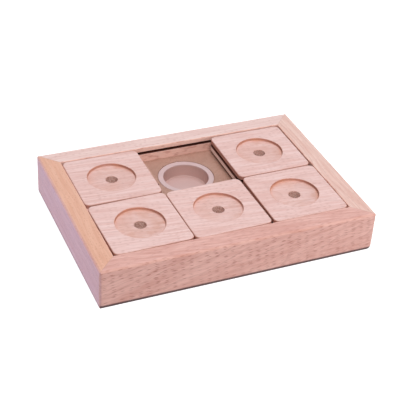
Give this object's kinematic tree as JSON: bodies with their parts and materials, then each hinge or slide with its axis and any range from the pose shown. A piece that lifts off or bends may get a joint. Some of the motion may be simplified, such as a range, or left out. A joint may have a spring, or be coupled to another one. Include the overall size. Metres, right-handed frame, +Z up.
{
  "type": "dog puzzle feeder",
  "caption": "Flat wooden puzzle tray: square sliding blocks with round dishes and scent holes interlock over a grid of plastic treat cups, with an open cell to slide into.",
  "frame": {"origin": "middle of the tray's footprint, on the surface it stands on", "axes": "+X along the long side to the right, +Y from the front rail to the back rail, +Z up out of the cells"},
  "size_m": [0.2822, 0.2012, 0.042],
  "materials": {
    "rail_long": "sanded and lightly oiled beech",
    "rail_short": "sanded and lightly oiled beech",
    "block_top": "sanded beech",
    "block_core": "sawn beech",
    "block_under": "planed beech",
    "strip": "planed beech",
    "cup_board": "smooth hardboard",
    "base_board": "smooth hardboard",
    "cup": "satin moulded plastic"
  },
  "bodies": {
    "tray": {"front_rail": "rail_long", "back_rail": "rail_long", "left_rail": "rail_short", "right_rail": "rail_short", "front_tongue_strip": "strip", "left_tongue_strip": "strip", "corner_key_fl": "strip", "corner_key_fr": "strip", "corner_key_bl": "strip", "corner_key_br": "strip", "cup_board": "cup_board", "base_board": "base_board", "cup_fl": "cup", "cup_fm": "cup", "cup_fr": "cup", "cup_bl": "cup", "cup_br": "cup"},
    "cup_bm": {"cup_bm": "cup"},
    "block_fl": {"fl_top": "block_top", "fl_tongue": "block_core", "fl_bottom": "block_under"},
    "block_fm": {"fm_top": "block_top", "fm_tongue": "block_core", "fm_bottom": "block_under"},
    "block_fr": {"fr_top": "block_top", "fr_tongue": "block_core", "fr_bottom": "block_under"},
    "block_bl": {"bl_top": "block_top", "bl_tongue": "block_core", "bl_bottom": "block_under"},
    "block_br": {"br_top": "block_top", "br_tongue": "block_core", "br_bottom": "block_under"}
  },
  "joints": [
    {"name": "block_fm_slide", "type": "slide", "parent": "tray", "child": "block_fm", "axis": [0, 1, 0], "range_m": [0, 0.0809]},
    {"name": "block_br_slide", "type": "slide", "parent": "tray", "child": "block_br", "axis": [1, 0, 0], "range_m": [-0.0821, 0]},
    {"name": "block_bl_slide", "type": "slide", "parent": "tray", "child": "block_bl", "axis": [0, 1, 0], "range_m": [-0.0004, 0]},
    {"name": "block_fl_slide", "type": "slide", "parent": "tray", "child": "block_fl", "axis": [0, 1, 0], "range_m": [0, 0.0004]},
    {"name": "block_fr_slide", "type": "slide", "parent": "tray", "child": "block_fr", "axis": [1, 0, 0], "range_m": [-0.0017, 0]},
    {"name": "cup_bm_lift", "type": "slide", "parent": "tray", "child": "cup_bm", "axis": [0, 0, 1], "range_m": [0, 0.06]}
  ]
}
